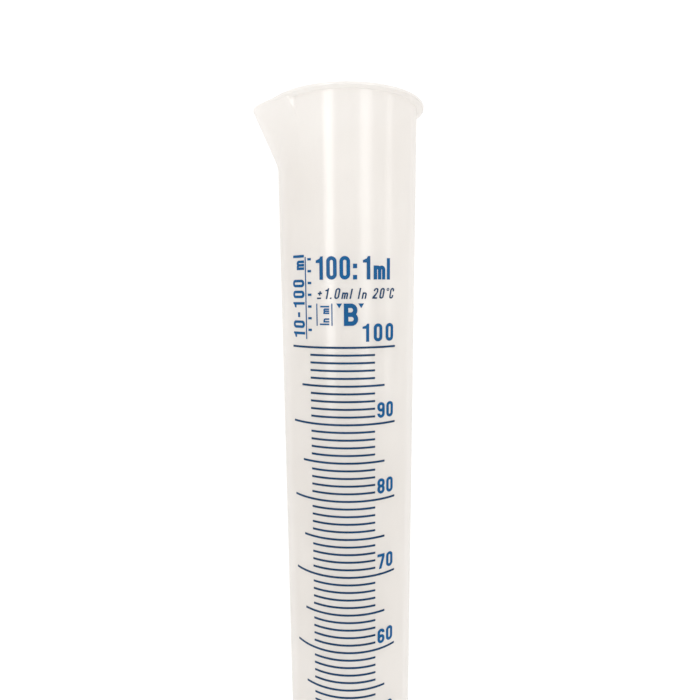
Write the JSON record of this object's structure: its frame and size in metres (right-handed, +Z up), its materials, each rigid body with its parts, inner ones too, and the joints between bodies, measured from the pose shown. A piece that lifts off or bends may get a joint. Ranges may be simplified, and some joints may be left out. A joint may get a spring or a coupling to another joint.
{
  "type": "graduated cylinder",
  "caption": "Tall measuring cylinder for liquids: tapered translucent tube with a pouring spout and blue printed volume scale, standing in a hexagonal push-on foot.",
  "frame": {"origin": "centre of the foot's underside, on the tube's axis", "axes": "+Z up along the tube, the scale faces -Y and the spout points to -X"},
  "size_m": [0.0704, 0.062, 0.2497],
  "materials": {
    "tube_plastic": "milky translucent polypropylene, satin moulded surface",
    "foot_plastic": "milky polypropylene, satin moulded surface",
    "line_ink": "thin dark blue screen-printed ink",
    "numeral_ink": "solid blue screen-printed ink"
  },
  "bodies": {
    "foot_base": {"foot": "foot_plastic"},
    "tube_body": {"measuring_tube": "tube_plastic", "lines_10ml": "line_ink", "lines_5ml": "line_ink", "lines_1ml": "line_ink", "numerals": "numeral_ink", "capacity_mark": "numeral_ink", "tolerance_mark": "line_ink", "class_mark": "numeral_ink", "unit_mark": "numeral_ink", "range_mark": "numeral_ink"}
  },
  "joints": [
    {"name": "tube_lift", "type": "slide", "parent": "foot_base", "child": "tube_body", "axis": [0, 0, 1], "range_m": [0, 0.03]}
  ]
}
